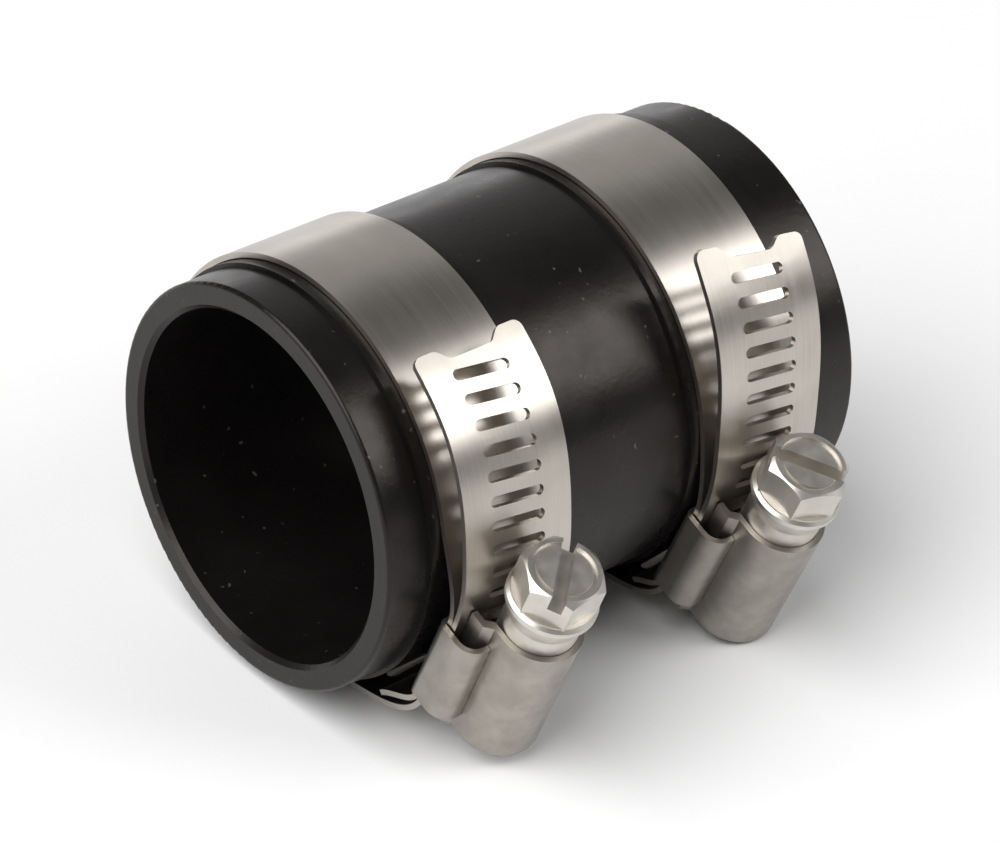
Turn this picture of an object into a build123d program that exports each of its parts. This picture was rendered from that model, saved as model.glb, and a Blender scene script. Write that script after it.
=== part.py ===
from build123d import *
from collections import namedtuple
from math import cos, radians, sin, tan
import os

# Flexible pipe coupling: a rubber sleeve pushed over two pipe ends, and a worm-drive band
# clamp round each end of it.
#
# Frame, in millimetres: +X along the pipe, +Z up, origin at the middle of the bore.
# Angles round the pipe are in degrees from the top (+Z), growing towards the front (-Y).
# Each clamp is a steel strip, the saddle that holds its two layers together, the barrel
# that stands on the saddle, and the worm screw that turns in the barrel.

# Sleeve
BORE_RADIUS = 19.05
SLEEVE_RADIUS = 21.9
SLEEVE_LENGTH = 62.0
LAND_RADIUS = 22.35
LAND_EDGE_ROUND = 0.3
END_ROUND = 0.45
BORE_CHAMFER = 0.5

# Strip
BAND_WIDTH = 13.5
BAND_THICKNESS = 0.6
LAYER_GAP = 0.04
LOOP_GAP = 0.1
LOOP_RADIUS = LAND_RADIUS + LOOP_GAP + BAND_THICKNESS / 2
SLOT_LENGTH = 6.7
SLOT_WIDTH = 1.2
SLOT_PITCH = 2.65
SLOT_SKEW = -7.0
SLOT_COUNT = 22
FIRST_SLOT_FROM_TIP = 4.4
TIP_TRIM = 1.0
EAR_WIDTH = 2.8
EAR_ROUND = 1.0
NOTCH_DEPTH = 1.3
NOTCH_SLOPE = 1.3
TIP_CUT_REACH = 3.0
TIP_CUT_DEPTH = 2.0

# Screw, measured down from the top of its head
HEX_ACROSS_FLATS = 8.0
HEX_HEIGHT = 4.3
HEX_CHAMFER = 0.75
HEX_TOP_RADIUS = 3.85
GROOVE_OUTER_RADIUS = 3.4
GROOVE_INNER_RADIUS = 3.0
GROOVE_DEPTH = 0.35
DISC_DEPTH = 0.12
DRIVER_SLOT_WIDTH = 1.5
DRIVER_SLOT_DEPTH = 1.9
HEAD_OVERLAP = 0.5
FLANGE_TOP_RADIUS = 4.5
FLANGE_RADIUS = 4.85
FLANGE_CHAMFER = 0.3
FLANGE_BOTTOM = 5.2
CUP_BOTTOM = 7.0
COLLAR_RADIUS = 4.02
COLLAR_BOTTOM = 8.7
JOURNAL_RADIUS = 3.99
JOURNAL_BOTTOM = 11.2
SHANK_CHAMFER = 0.6
WORM_ROOT_RADIUS = 3.15
WORM_CREST_RADIUS = 3.8
WORM_PITCH = SLOT_PITCH
WORM_CLEARANCE = 0.35
WORM_TURNS = 4.1
WORM_TOP = 12.6
THREAD_BASE = 1.9
THREAD_CREST = 1.0
THREAD_SINK = 0.3
SCREW_LENGTH = 25.0

# Barrel and saddle, measured down the screw from the top of its head
SHEET = 0.65
BARREL_INNER_RADIUS = 4.05
BARREL_OUTER_RADIUS = BARREL_INNER_RADIUS + SHEET
MOUTH_DEPTH = 9.1
BARREL_LENGTH = 17.0
BARREL_FLARE = 0.9
FLARE_DROP = 0.75
END_LIP_RADIUS = 2.7
END_LIP_ROUND = 1.1
SADDLE_TOP_DEPTH = 11.7
SADDLE_LENGTH = 11.3
SADDLE_SHEET = 0.6
SADDLE_SIDE_GAP = 0.15
SADDLE_ROUND = 2.2
SADDLE_EDGE_ROUND = 1.0
FOLD_ROUND = 1.6
FOLD_EDGE_ROUND = 0.2
SHOULDER_BELOW_AXIS = 0.8
SHEET_GAP = 0.05

# Heights below the screw axis where the layers lie flat through the saddle
OUTER_LAYER_TOP = WORM_CREST_RADIUS + WORM_CLEARANCE
OUTER_LAYER = OUTER_LAYER_TOP + BAND_THICKNESS / 2
INNER_LAYER = OUTER_LAYER + BAND_THICKNESS + LAYER_GAP
INNER_LAYER_BOTTOM = INNER_LAYER + BAND_THICKNESS / 2
SADDLE_FLOOR = INNER_LAYER_BOTTOM + LAYER_GAP
SADDLE_BOTTOM = SADDLE_FLOOR + SADDLE_SHEET

# The two clamps. screw_angle is where the screw runs square to the pipe's radius and
# screw_radius its distance from the pipe's axis there. head_rise is how far the top of
# the head stands above that point. slot_angle turns the driver slot, and hex_turn the
# hexagon away from square to the slot. tail lists (angle, radius) down the free end, tip
# first, tip_heading is the angle whose tangent the tip follows, and tip_skew leans the
# shape of its end. lift_off is where the loop leaves the sleeve for the housing.
Clamp = namedtuple(
    "Clamp",
    "name x land screw_x screw_angle screw_radius head_rise slot_angle hex_turn "
    "tail tip_heading tip_skew lift_off",
)
CLAMPS = [
    Clamp(
        name="left",
        x=-17.95,
        land=(-26.0, -9.8),
        screw_x=-17.75,
        screw_angle=109.7,
        screw_radius=29.4,
        head_rise=15.0,
        slot_angle=136.0,
        hex_turn=9.0,
        tail=[(33.3, 26.9), (51.3, 27.1), (66.3, 26.6), (82.3, 25.9)],
        tip_heading=35.8,
        tip_skew=0.0,
        lift_off=74.3,
    ),
    Clamp(
        name="right",
        x=16.0,
        land=(8.1, 25.2),
        screw_x=16.15,
        screw_angle=111.2,
        screw_radius=28.45,
        head_rise=13.9,
        slot_angle=49.0,
        hex_turn=0.0,
        tail=[(37.8, 30.1), (51.3, 28.4), (64.3, 26.8), (80.3, 25.1)],
        tip_heading=58.3,
        tip_skew=-9.0,
        lift_off=80.3,
    ),
]
LOOP_START = 166.3
TONGUE_TIP = (143.8, 24.25)
TONGUE_HEADING = 142.3


def polar(angle, radius):
    """Point (Y, Z) at an angle round the pipe."""
    a = radians(angle)
    return (-radius * sin(a), radius * cos(a))


def heading(angle):
    """Direction (Y, Z) of growing angle."""
    a = radians(angle)
    return (-cos(a), -sin(a))


def screw_point(clamp, below_axis, rise):
    """Point (Y, Z) that far inward from the screw's axis and that far up along it."""
    y, z = polar(clamp.screw_angle, clamp.screw_radius - below_axis)
    dy, dz = heading(clamp.screw_angle)
    return (y - rise * dy, z - rise * dz)


def cross_plane(clamp, depth):
    """Plane across the screw at a depth below its head: x along the pipe, y outward."""
    y, z = screw_point(clamp, 0, clamp.head_rise - depth)
    dy, dz = heading(clamp.screw_angle)
    return Plane(origin=(clamp.screw_x, y, z), x_dir=(1, 0, 0), z_dir=(0, dy, dz))


def axial_plane(clamp):
    """Plane through the screw's axis: x outward, y down the screw from its head."""
    y, z = screw_point(clamp, 0, clamp.head_rise)
    out_y, out_z = polar(clamp.screw_angle, 1)
    return Plane(origin=(clamp.screw_x, y, z), x_dir=(0, out_y, out_z), z_dir=(1, 0, 0))


def strip_path(clamp):
    """Middle line of the strip in (Y, Z), from the tip of its free end to its inner end."""
    saddle_top = clamp.head_rise - SADDLE_TOP_DEPTH
    saddle_end = saddle_top - SADDLE_LENGTH
    flat = heading(clamp.screw_angle)
    outer_top = screw_point(clamp, OUTER_LAYER, saddle_top)
    outer_end = screw_point(clamp, OUTER_LAYER, saddle_end)
    inner_top = screw_point(clamp, INNER_LAYER, saddle_top)
    inner_end = screw_point(clamp, INNER_LAYER, saddle_end)
    with BuildLine() as path:
        tail = [polar(angle, radius) for angle, radius in clamp.tail]
        Spline(*tail, outer_top, tangents=(heading(clamp.tip_heading), flat))
        Line(outer_top, outer_end)
        loop_start = polar(LOOP_START, LOOP_RADIUS)
        Spline(outer_end, loop_start, tangents=(flat, heading(LOOP_START)))
        CenterArc((0, 0), LOOP_RADIUS, LOOP_START + 90, clamp.lift_off + 360 - LOOP_START)
        loop_end = polar(clamp.lift_off, LOOP_RADIUS)
        Spline(loop_end, inner_top, tangents=(heading(clamp.lift_off), flat))
        Line(inner_top, inner_end)
        tongue_tip = polar(*TONGUE_TIP)
        Spline(inner_end, tongue_tip, tangents=(flat, heading(TONGUE_HEADING)))
    return path.wire()


def strip_plane(clamp, path, along):
    """Plane on the strip: x along the pipe, y towards the free tip, normal outward."""
    y, z, _ = path.position_at(along, position_mode=PositionMode.LENGTH)
    dy, dz, _ = path.tangent_at(along, position_mode=PositionMode.LENGTH)
    return Plane(origin=(clamp.x, y, z), x_dir=(1, 0, 0), z_dir=(0, dz, -dy))


def make_sleeve():
    """Plain tube with a low land under each band."""
    half = SLEEVE_LENGTH / 2
    outline = [(-half, BORE_RADIUS), (-half, SLEEVE_RADIUS)]
    for clamp in CLAMPS:
        start, end = clamp.land
        outline += [(start, SLEEVE_RADIUS), (start, LAND_RADIUS)]
        outline += [(end, LAND_RADIUS), (end, SLEEVE_RADIUS)]
    outline += [(half, SLEEVE_RADIUS), (half, BORE_RADIUS)]
    with BuildPart() as sleeve:
        with BuildSketch() as profile:
            with BuildLine():
                Polyline(*outline, close=True)
            make_face()
            ends = profile.vertices().group_by(Axis.X)
            bore_corners = [ends[0].sort_by(Axis.Y)[0], ends[-1].sort_by(Axis.Y)[0]]
            outer_corners = [ends[0].sort_by(Axis.Y)[-1], ends[-1].sort_by(Axis.Y)[-1]]
            land_corners = profile.vertices().group_by(Axis.Y)[-1]
            chamfer(bore_corners, BORE_CHAMFER)
            fillet(outer_corners, END_ROUND)
            fillet(land_corners, LAND_EDGE_ROUND)
        revolve(axis=Axis.X)
    return sleeve


def tip_outline(skew):
    """Outline of what is cut away round the tail's two rounded ears and shallow notch."""
    side = BAND_WIDTH / 2
    ear = side - EAR_WIDTH
    lean = tan(radians(skew))
    left = [(-side, -TIP_CUT_REACH), (-side, 0), (-ear, 0), (-ear + NOTCH_SLOPE, -NOTCH_DEPTH)]
    right = [(-x, y) for x, y in reversed(left)]
    edge = [(x, y + lean * x) for x, y in left + right]
    FilletPolyline(*edge, radius=EAR_ROUND)
    far = side + TIP_CUT_REACH
    right_foot = edge[-1][1]
    left_foot = edge[0][1]
    around = [(far, right_foot), (far, TIP_CUT_REACH), (-far, TIP_CUT_REACH), (-far, left_foot)]
    Polyline(edge[-1], *around, edge[0])


def make_band(clamp):
    """Strip bent once round the sleeve, its free end slotted for the worm."""
    path = strip_path(clamp)
    with BuildPart() as band:
        with BuildSketch(Plane.YZ.offset(clamp.x - BAND_WIDTH / 2)):
            trace(path, line_width=BAND_THICKNESS)
        extrude(amount=BAND_WIDTH)
        for index in range(SLOT_COUNT):
            along = FIRST_SLOT_FROM_TIP + index * SLOT_PITCH
            with BuildSketch(strip_plane(clamp, path, along)):
                SlotOverall(SLOT_LENGTH, SLOT_WIDTH, rotation=SLOT_SKEW)
            extrude(amount=BAND_THICKNESS, both=True, mode=Mode.SUBTRACT)
        with BuildSketch(strip_plane(clamp, path, TIP_TRIM)):
            with BuildLine():
                tip_outline(clamp.tip_skew)
            make_face()
        extrude(amount=TIP_CUT_DEPTH, both=True, mode=Mode.SUBTRACT)
    return band


def fold(plane, middle, half_width, top, bottom, top_round, edge_round):
    """Face of a box section whose upper corners are rounder than its lower ones."""
    with BuildSketch(plane) as section:
        with Locations((middle, (top + bottom) / 2)):
            Rectangle(2 * half_width, top - bottom)
        fillet(section.vertices().group_by(Axis.Y)[-1], top_round)
        fillet(section.vertices().group_by(Axis.Y)[0], edge_round)
    return section.sketch


def make_saddle(clamp):
    """Folded sheet channel that wraps both layers of the strip, open under the barrel."""
    half_inside = BAND_WIDTH / 2 + SADDLE_SIDE_GAP
    half_outside = half_inside + SADDLE_SHEET
    middle = clamp.x - clamp.screw_x
    top = -SHOULDER_BELOW_AXIS
    opening = BARREL_OUTER_RADIUS + SHEET_GAP
    plane = cross_plane(clamp, SADDLE_TOP_DEPTH)
    rounds = (SADDLE_ROUND, SADDLE_EDGE_ROUND)
    inner_rounds = (FOLD_ROUND, FOLD_EDGE_ROUND)
    outside = fold(plane, middle, half_outside, top, -SADDLE_BOTTOM, *rounds)
    inside = fold(plane, middle, half_inside, top - SADDLE_SHEET, -SADDLE_FLOOR, *inner_rounds)
    with BuildPart() as saddle:
        extrude(outside, amount=SADDLE_LENGTH)
        extrude(inside, amount=SADDLE_LENGTH, mode=Mode.SUBTRACT)
        with BuildSketch(plane):
            with Locations((0, top)):
                Rectangle(2 * opening, 2 * (SADDLE_SHEET + SHEET_GAP))
        extrude(amount=SADDLE_LENGTH, mode=Mode.SUBTRACT)
    return saddle


def arch(plane, radius, flare_top, foot):
    """Face of a half-round arch on upright legs that flare below flare_top, down to foot."""
    wide = radius + BARREL_FLARE
    leg = [(radius, 0), (radius, -flare_top), (wide, -flare_top - FLARE_DROP), (wide, -foot)]
    with BuildSketch(plane) as face:
        with BuildLine():
            ThreePointArc((-radius, 0), (0, radius), (radius, 0))
            Polyline(*leg, *[(-x, y) for x, y in reversed(leg)])
        make_face()
    return face.sketch


def make_barrel(clamp):
    """Half-round sheet cover over the worm, with an inturned lip at its lower end."""
    foot = OUTER_LAYER_TOP - LAYER_GAP
    flare_top = SHOULDER_BELOW_AXIS + SADDLE_SHEET + SHEET_GAP
    inner_flare_top = flare_top + SHEET
    past_foot = foot + SHEET
    mouth = cross_plane(clamp, MOUTH_DEPTH)
    lip = cross_plane(clamp, MOUTH_DEPTH + BARREL_LENGTH - SHEET)
    with BuildPart() as barrel:
        extrude(arch(mouth, BARREL_OUTER_RADIUS, flare_top, foot), amount=BARREL_LENGTH)
        end_face = barrel.faces().sort_by(Axis((0, 0, 0), mouth.z_dir))[-1]
        fillet(end_face.edges().filter_by(Axis.X, reverse=True), END_LIP_ROUND)
        bore = arch(mouth, BARREL_INNER_RADIUS, inner_flare_top, past_foot)
        extrude(bore, amount=BARREL_LENGTH - SHEET, mode=Mode.SUBTRACT)
        opening = arch(lip, END_LIP_RADIUS, inner_flare_top, past_foot)
        extrude(opening, amount=SHEET, mode=Mode.SUBTRACT)
    return barrel


def head_outline(corner):
    """Half outline of the turned head: chamfered top with a groove round its flat disc."""
    clear = corner + DISC_DEPTH
    points = [
        (0, DISC_DEPTH),
        (GROOVE_INNER_RADIUS - DISC_DEPTH, DISC_DEPTH),
        (GROOVE_INNER_RADIUS, GROOVE_DEPTH),
        (GROOVE_OUTER_RADIUS, GROOVE_DEPTH),
        (GROOVE_OUTER_RADIUS, 0),
        (HEX_TOP_RADIUS, 0),
        (clear, HEX_CHAMFER),
        (clear, HEX_HEIGHT),
        (0, HEX_HEIGHT),
    ]
    Polyline(*points, close=True)


def shank_outline():
    """Half outline of the turned shank: flange, cup, collar, journal and worm core."""
    points = [
        (0, HEX_HEIGHT - HEAD_OVERLAP),
        (FLANGE_TOP_RADIUS, HEX_HEIGHT - HEAD_OVERLAP),
        (FLANGE_TOP_RADIUS, HEX_HEIGHT - FLANGE_CHAMFER),
        (FLANGE_RADIUS, HEX_HEIGHT),
        (FLANGE_RADIUS, FLANGE_BOTTOM - FLANGE_CHAMFER),
        (FLANGE_RADIUS - FLANGE_CHAMFER, FLANGE_BOTTOM),
        (COLLAR_RADIUS, CUP_BOTTOM),
        (COLLAR_RADIUS, COLLAR_BOTTOM),
        (JOURNAL_RADIUS, COLLAR_BOTTOM),
        (JOURNAL_RADIUS, JOURNAL_BOTTOM),
        (WORM_ROOT_RADIUS, JOURNAL_BOTTOM + SHANK_CHAMFER),
        (WORM_ROOT_RADIUS, SCREW_LENGTH - SHANK_CHAMFER),
        (WORM_ROOT_RADIUS - SHANK_CHAMFER, SCREW_LENGTH),
        (0, SCREW_LENGTH),
    ]
    Polyline(*points, close=True)


def thread_outline():
    """Outline of one turn of the worm, its foot sunk into the core."""
    rise = WORM_CREST_RADIUS - WORM_ROOT_RADIUS
    points = [
        (-THREAD_SINK, -THREAD_BASE / 2),
        (rise, -THREAD_CREST / 2),
        (rise, THREAD_CREST / 2),
        (-THREAD_SINK, THREAD_BASE / 2),
    ]
    Polyline(*points, close=True)


def make_screw(clamp):
    """Slotted hexagon head, flange, collar, journal and worm, all one piece."""
    axial = axial_plane(clamp)
    axis = Axis(axial.origin, axial.y_dir)
    corner = HEX_ACROSS_FLATS / 2 / cos(radians(30))
    first_corner = clamp.slot_angle + clamp.hex_turn + 30
    start = axial.origin + axial.y_dir * WORM_TOP
    with BuildPart() as screw:
        with BuildSketch(cross_plane(clamp, 0)):
            RegularPolygon(corner, 6, rotation=first_corner)
        extrude(amount=HEX_HEIGHT)
        with BuildSketch(axial):
            with BuildLine():
                head_outline(corner)
            make_face()
        revolve(axis=axis, mode=Mode.INTERSECT)
        with BuildSketch(axial):
            with BuildLine():
                shank_outline()
            make_face()
        revolve(axis=axis)
        with BuildSketch(cross_plane(clamp, 0)):
            Rectangle(3 * corner, DRIVER_SLOT_WIDTH, rotation=clamp.slot_angle)
        extrude(amount=DRIVER_SLOT_DEPTH, mode=Mode.SUBTRACT)
        with BuildLine() as turns:
            Helix(WORM_PITCH, WORM_PITCH * WORM_TURNS, WORM_ROOT_RADIUS, start, axial.y_dir)
        begin = turns.line @ 0
        with BuildSketch(Plane(begin, x_dir=begin - start, z_dir=turns.line % 0)):
            with BuildLine():
                thread_outline()
            make_face()
        sweep(path=turns.line, is_frenet=True)
    return screw


def finish(piece, name):
    """Label a finished piece and write it to its own file."""
    piece.part.label = name
    export_step(piece.part, f"parts/{name}.step")


os.makedirs("parts", exist_ok=True)
finish(make_sleeve(), "sleeve")
for clamp in CLAMPS:
    finish(make_band(clamp), f"{clamp.name}_band")
    finish(make_saddle(clamp), f"{clamp.name}_saddle")
    finish(make_barrel(clamp), f"{clamp.name}_barrel")
    finish(make_screw(clamp), f"{clamp.name}_screw")
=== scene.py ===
from collections import namedtuple

import bpy
from mathutils import Matrix, Vector


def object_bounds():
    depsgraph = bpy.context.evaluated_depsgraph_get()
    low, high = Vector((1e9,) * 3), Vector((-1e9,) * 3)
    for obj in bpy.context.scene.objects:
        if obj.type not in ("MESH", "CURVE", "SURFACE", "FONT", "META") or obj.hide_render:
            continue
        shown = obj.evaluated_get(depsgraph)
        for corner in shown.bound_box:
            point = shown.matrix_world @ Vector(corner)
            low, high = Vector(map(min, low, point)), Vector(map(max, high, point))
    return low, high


# Flexible pipe coupling: materials for its nine CAD bodies, and the studio round them.
# Metres, in the part's own frame: +X along the pipe, +Z up, origin in the middle of the bore.

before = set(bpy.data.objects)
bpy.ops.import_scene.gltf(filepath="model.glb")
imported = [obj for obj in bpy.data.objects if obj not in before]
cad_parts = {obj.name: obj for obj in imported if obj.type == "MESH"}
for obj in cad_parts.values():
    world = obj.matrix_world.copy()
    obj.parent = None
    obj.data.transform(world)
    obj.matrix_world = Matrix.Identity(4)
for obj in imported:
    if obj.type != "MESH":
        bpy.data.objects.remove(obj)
cad_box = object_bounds()

MM = 0.001

# Where an angle round the pipe is measured as an arc: between the sleeve and the strips
ARC_RADIUS = 22 * MM

# ---------------------------------------------------------------- materials

# Nearly all of a noise texture's values lie between these two
NOISE_LOW = 0.3
NOISE_HIGH = 0.7

# A mix node's sockets for colours, whose names it repeats for its other kinds of value
MIX_AMOUNT = 0
MIX_FIRST = 6
MIX_SECOND = 7
MIX_RESULT = 2


class Nodes:
    """A procedural material being wired up, with its Principled shader."""

    def __init__(self, name):
        self.material = bpy.data.materials.new(name)
        self.material.use_nodes = True
        self.tree = self.material.node_tree
        self.shader = self.tree.nodes["Principled BSDF"]
        self.place = self.add("ShaderNodeTexCoord").outputs["Object"]

    def add(self, kind, **settings):
        node = self.tree.nodes.new(kind)
        for name, value in settings.items():
            setattr(node, name, value)
        return node

    def wire(self, source, target):
        self.tree.links.new(source, target)

    def even(self, name, value):
        """Set one of the shader's inputs to the same value all over."""
        self.shader.inputs[name].default_value = value

    def math(self, operation, first, second):
        """Combine two values, each a socket or a number."""
        node = self.add("ShaderNodeMath", operation=operation)
        for socket, value in zip(node.inputs, (first, second)):
            if isinstance(value, (int, float)):
                socket.default_value = value
            else:
                self.wire(value, socket)
        return node.outputs[0]

    def noise(self, scale, detail, roughness=0.55, where=None):
        node = self.add("ShaderNodeTexNoise")
        self.wire(where or self.place, node.inputs["Vector"])
        node.inputs["Scale"].default_value = scale
        node.inputs["Detail"].default_value = detail
        node.inputs["Roughness"].default_value = roughness
        return node.outputs["Fac"]

    def remap(self, value, low, high, to_low, to_high):
        node = self.add("ShaderNodeMapRange")
        self.wire(value, node.inputs["Value"])
        node.inputs["From Min"].default_value = low
        node.inputs["From Max"].default_value = high
        node.inputs["To Min"].default_value = to_low
        node.inputs["To Max"].default_value = to_high
        return node.outputs["Result"]

    def ramp(self, value, dark, light, low=NOISE_LOW, high=NOISE_HIGH):
        """Colour that goes from dark to light as the value goes from low to high."""
        node = self.add("ShaderNodeValToRGB")
        stops = zip(node.color_ramp.elements, (low, high), (dark, light))
        for element, position, colour in stops:
            element.position = position
            element.color = (*colour, 1)
        self.wire(value, node.inputs["Fac"])
        return node.outputs["Color"]

    def blend(self, amount, first, second):
        """Colour socket first, replaced by the plain colour second where amount is one."""
        node = self.add("ShaderNodeMix", data_type="RGBA")
        self.wire(amount, node.inputs[MIX_AMOUNT])
        self.wire(first, node.inputs[MIX_FIRST])
        node.inputs[MIX_SECOND].default_value = (*second, 1)
        return node.outputs[MIX_RESULT]

    def colour(self, source):
        self.wire(source, self.shader.inputs["Base Color"])

    def roughness(self, value, smooth, rough):
        """Roughness between two limits, following a noise."""
        spread = self.remap(value, NOISE_LOW, NOISE_HIGH, smooth, rough)
        self.wire(spread, self.shader.inputs["Roughness"])

    def bump(self, height, distance, strength):
        node = self.add("ShaderNodeBump")
        node.inputs["Distance"].default_value = distance
        node.inputs["Strength"].default_value = strength
        self.wire(height, node.inputs["Height"])
        self.wire(node.outputs["Normal"], self.shader.inputs["Normal"])

    def round_the_pipe(self, axis_stretch, round_stretch):
        """Coordinates that run along the pipe and round it, each stretched by its own factor."""
        split = self.add("ShaderNodeSeparateXYZ")
        self.wire(self.place, split.inputs[0])
        x, y, z = split.outputs
        angle = self.math("ARCTAN2", y, z)
        join = self.add("ShaderNodeCombineXYZ")
        self.wire(self.math("MULTIPLY", x, axis_stretch), join.inputs[0])
        self.wire(self.math("MULTIPLY", angle, ARC_RADIUS * round_stretch), join.inputs[1])
        return join.outputs[0]


def rubber():
    """Moulded black rubber: faint mottle, fine grain and a few specks of dust."""
    n = Nodes("black_rubber")
    mottle = n.noise(scale=90, detail=5)
    base = n.ramp(mottle, dark=(0.0045, 0.0038, 0.0036), light=(0.0075, 0.0064, 0.0061))
    specks = n.noise(scale=1100, detail=1, roughness=0.4)
    dust = n.remap(specks, low=0.75, high=0.79, to_low=0, to_high=1)
    n.colour(n.blend(dust, base, (0.07, 0.065, 0.06)))
    n.roughness(n.noise(scale=260, detail=4), smooth=0.25, rough=0.35)
    n.bump(n.noise(scale=1400, detail=4), distance=0.04 * MM, strength=0.45)
    n.even("Specular IOR Level", 0.33)
    n.even("Specular Tint", (1.0, 0.9, 0.84, 1))
    return n.material


def strip_steel():
    """Rolled stainless strip: fine grain lines along its length."""
    n = Nodes("strip_steel")
    lengthwise = n.round_the_pipe(axis_stretch=9000, round_stretch=70)
    grain = n.noise(scale=1, detail=3, where=lengthwise)
    cloud = n.noise(scale=160, detail=3)
    mixed = n.math("ADD", n.math("MULTIPLY", grain, 0.5), n.math("MULTIPLY", cloud, 0.5))
    dark = (0.44, 0.405, 0.365)
    light = (0.55, 0.51, 0.465)
    n.colour(n.ramp(mixed, dark, light, low=0.35, high=0.65))
    n.roughness(grain, smooth=0.28, rough=0.34)
    n.even("Metallic", 1)
    return n.material


def housing_steel():
    """Pressed stainless sheet: soft satin with a faint cloudy mottle."""
    n = Nodes("housing_steel")
    cloud = n.noise(scale=380, detail=5)
    n.colour(n.ramp(cloud, dark=(0.31, 0.285, 0.255), light=(0.41, 0.38, 0.345)))
    n.roughness(n.noise(scale=900, detail=4), smooth=0.36, rough=0.46)
    n.bump(n.noise(scale=1200, detail=4), distance=0.012 * MM, strength=0.45)
    n.even("Metallic", 1)
    return n.material


def plated_screw():
    """Plated steel, brighter than the sheet, with a soft satin bloom."""
    n = Nodes("plated_screw")
    cloud = n.noise(scale=420, detail=4)
    n.colour(n.ramp(cloud, dark=(0.58, 0.55, 0.505), light=(0.68, 0.645, 0.595)))
    n.roughness(n.noise(scale=700, detail=4), smooth=0.35, rough=0.45)
    n.bump(n.noise(scale=1500, detail=3), distance=0.006 * MM, strength=0.4)
    n.even("Metallic", 1)
    return n.material


def dress(node, material):
    """Give a CAD node its finished material."""
    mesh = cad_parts[node].data
    mesh.materials.clear()
    mesh.materials.append(material)


# By the last word of the node's name: left_band and right_band are both a band
MATERIALS = {
    "sleeve": rubber(),
    "band": strip_steel(),
    "saddle": housing_steel(),
    "barrel": housing_steel(),
    "screw": plated_screw(),
}
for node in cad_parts:
    dress(node, MATERIALS[node.split("_")[-1]])

# ---------------------------------------------------------------- stage

FLOOR_HEIGHT = cad_box[0][2]
FLOOR_HALF_SIZE = 3.0
FLOOR_COLOUR = (0.9, 0.9, 0.9, 1)
FLOOR_ROUGHNESS = 0.9

WORLD_COLOUR = (1, 1, 1, 1)
WORLD_STRENGTH = 0.12

# Each stands in the direction and at the distance given from the middle of the bore, and
# its power is in watts
Softbox = namedtuple("Softbox", "name towards distance size power")
SOFTBOXES = [
    Softbox("key_box", (0.55, -0.60, 0.58), 1.0, (0.44, 0.6), 3.8),
    Softbox("low_back_box", (0.55, 0.83, 0.05), 1.2, (1.2, 0.26), 1.6),
    Softbox("high_back_box", (0.55, 0.66, 0.51), 1.2, (1.2, 0.8), 1.2),
    Softbox("floor_box", (-0.75, 0.05, 0.9), 1.3, (1.5, 1.5), 26),
]

# The lens and the sensor's width are in millimetres
CAMERA_PLACE = Vector((-326.82, -363.60, 334.35)) * MM
CAMERA_FORWARD = Vector((0.5514, 0.61027, -0.56879))
CAMERA_RIGHT = Vector((0.76921, -0.63584, 0.06346))
CAMERA_LENS = 205.5
CAMERA_SENSOR = 36
CAMERA_CLIP_START = 10 * MM


def make_floor():
    """Pale floor at the height of the part's lowest point."""
    near = -FLOOR_HALF_SIZE
    far = FLOOR_HALF_SIZE
    corners = [(near, near, 0), (far, near, 0), (far, far, 0), (near, far, 0)]
    mesh = bpy.data.meshes.new("floor")
    mesh.from_pydata(corners, [], [(0, 1, 2, 3)])
    floor = bpy.data.objects.new("floor", mesh)
    floor.location.z = FLOOR_HEIGHT
    bpy.context.collection.objects.link(floor)
    n = Nodes("pale_floor")
    n.even("Base Color", FLOOR_COLOUR)
    n.even("Roughness", FLOOR_ROUGHNESS)
    mesh.materials.append(n.material)


def make_softbox(box):
    """Rectangular area light that faces the middle of the bore."""
    light = bpy.data.lights.new(box.name, "AREA")
    light.shape = "RECTANGLE"
    light.size, light.size_y = box.size
    light.energy = box.power
    lamp = bpy.data.objects.new(box.name, light)
    place = Vector(box.towards).normalized() * box.distance
    lamp.location = place
    lamp.rotation_euler = (-place).to_track_quat("-Z", "Y").to_euler()
    bpy.context.collection.objects.link(lamp)


def make_world():
    """Dim even surround, so that the softboxes shape the reflections."""
    world = bpy.data.worlds.new("studio")
    world.use_nodes = True
    surround = world.node_tree.nodes["Background"]
    surround.inputs["Color"].default_value = WORLD_COLOUR
    surround.inputs["Strength"].default_value = WORLD_STRENGTH
    bpy.context.scene.world = world


def make_camera():
    """Long lens, high in front of the left end."""
    data = bpy.data.cameras.new("camera")
    data.lens = CAMERA_LENS
    data.sensor_width = CAMERA_SENSOR
    data.clip_start = CAMERA_CLIP_START
    camera = bpy.data.objects.new("camera", data)
    forward = CAMERA_FORWARD.normalized()
    up = CAMERA_RIGHT.cross(forward).normalized()
    right = forward.cross(up)
    turn = Matrix((right, up, -forward)).transposed().to_4x4()
    camera.matrix_world = Matrix.Translation(CAMERA_PLACE) @ turn
    bpy.context.collection.objects.link(camera)
    bpy.context.scene.camera = camera


bpy.context.scene.view_settings.view_transform = "Standard"
make_floor()
make_world()
for box in SOFTBOXES:
    make_softbox(box)
make_camera()
